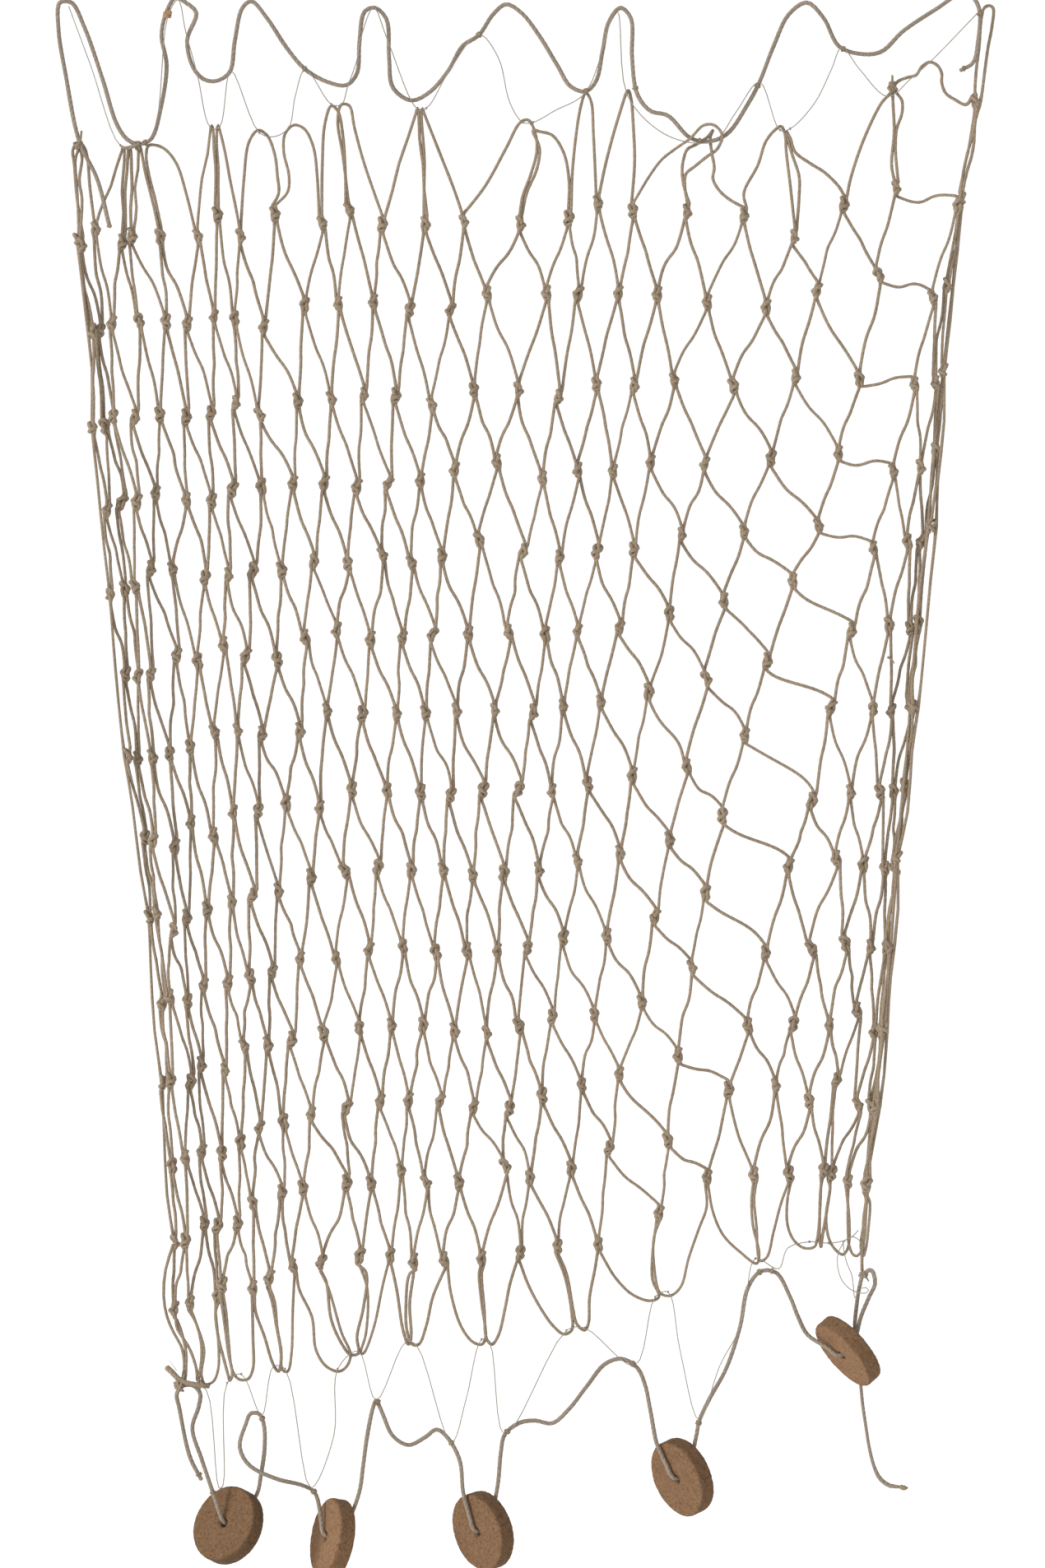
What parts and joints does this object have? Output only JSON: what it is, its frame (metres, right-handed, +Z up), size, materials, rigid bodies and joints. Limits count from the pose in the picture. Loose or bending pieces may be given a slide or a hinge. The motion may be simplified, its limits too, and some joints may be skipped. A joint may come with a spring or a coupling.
{
  "type": "decorative fishing net",
  "caption": "Knotted twine fishing net gathered on a swagged head rope, with a foot rope that carries round cork floats.",
  "frame": {"origin": "underside of the head rope at the crown of its middle hump, where a nail carries the net", "axes": "+Z up, +X to the right and -Y out of the front, towards a viewer"},
  "size_m": [0.7277, 0.0613, 1.2331],
  "materials": {
    "twine": "matte jute twine",
    "rope": "matte jute rope",
    "thread": "dull thin thread",
    "cork": "matte granular cork"
  },
  "bodies": {
    "hung_net": {"netting": "twine", "head_rope": "rope", "foot_rope": "rope", "top_lacing": "thread", "bottom_lacing": "thread"},
    "cork_1": {"float_1": "cork"},
    "cork_2": {"float_2": "cork"},
    "cork_3": {"float_3": "cork"},
    "cork_4": {"float_4": "cork"},
    "cork_5": {"float_5": "cork"}
  },
  "joints": [
    {"name": "float_1_spin", "type": "hinge", "parent": "hung_net", "child": "cork_1", "pos_m": [-0.21595, 0, -1.18153], "axis": [-0.5997, -0.7071, 0.3747], "continuous": true},
    {"name": "float_2_spin", "type": "hinge", "parent": "hung_net", "child": "cork_2", "pos_m": [-0.13488, 0, -1.1913], "axis": [-0.9069, -0.3746, 0.1928], "continuous": true},
    {"name": "float_3_spin", "type": "hinge", "parent": "hung_net", "child": "cork_3", "pos_m": [-0.01786, 0, -1.18562], "axis": [-0.7612, -0.6157, -0.204], "continuous": true},
    {"name": "float_4_spin", "type": "hinge", "parent": "hung_net", "child": "cork_4", "pos_m": [0.13713, 0, -1.14393], "axis": [-0.7595, -0.5736, -0.3069], "continuous": true},
    {"name": "float_5_spin", "type": "hinge", "parent": "hung_net", "child": "cork_5", "pos_m": [0.26589, 0, -1.0459], "axis": [-0.7243, -0.3256, -0.6078], "continuous": true}
  ]
}
